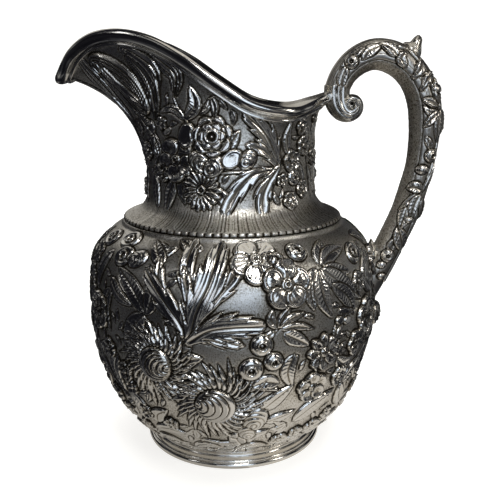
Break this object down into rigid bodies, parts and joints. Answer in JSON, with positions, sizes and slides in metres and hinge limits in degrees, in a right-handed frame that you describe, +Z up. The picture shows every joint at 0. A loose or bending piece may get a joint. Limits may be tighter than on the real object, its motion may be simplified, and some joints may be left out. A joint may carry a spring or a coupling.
{
  "type": "footed water pitcher",
  "caption": "Footed round-bodied metal pitcher with a chased floral body, a high flared pouring lip and a hollow scroll handle.",
  "frame": {"origin": "on the table the foot stands on, under the middle of the overall length from spout tip to handle; the vessel's own axis is 9.8 mm towards -X from it", "axes": "+Z up, +X towards the handle, -X towards the spout, Y across; the pitcher is symmetric about the XZ plane apart from its chasing"},
  "size_m": [0.209, 0.1616, 0.2278],
  "materials": {
    "chased_silver": "chased and matted silver, dark patina in the recesses, worn bright on the high relief",
    "polished_silver": "smooth polished silver with fine wear scratches and a little tarnish in the grooves",
    "cast_silver": "cast and chased silver, dark patina around the sprigs and a stippled inner face"
  },
  "bodies": {
    "root": {"body_shell": "chased_silver", "neck_shell": "chased_silver", "lip_moulding": "polished_silver", "foot_cove": "polished_silver", "foot_wire": "polished_silver", "handle_outer_shell": "cast_silver", "handle_inner_shell": "cast_silver", "handle_scroll": "cast_silver", "thumb_spur": "cast_silver", "handle_root_leaf": "cast_silver"}
  },
  "joints": []
}
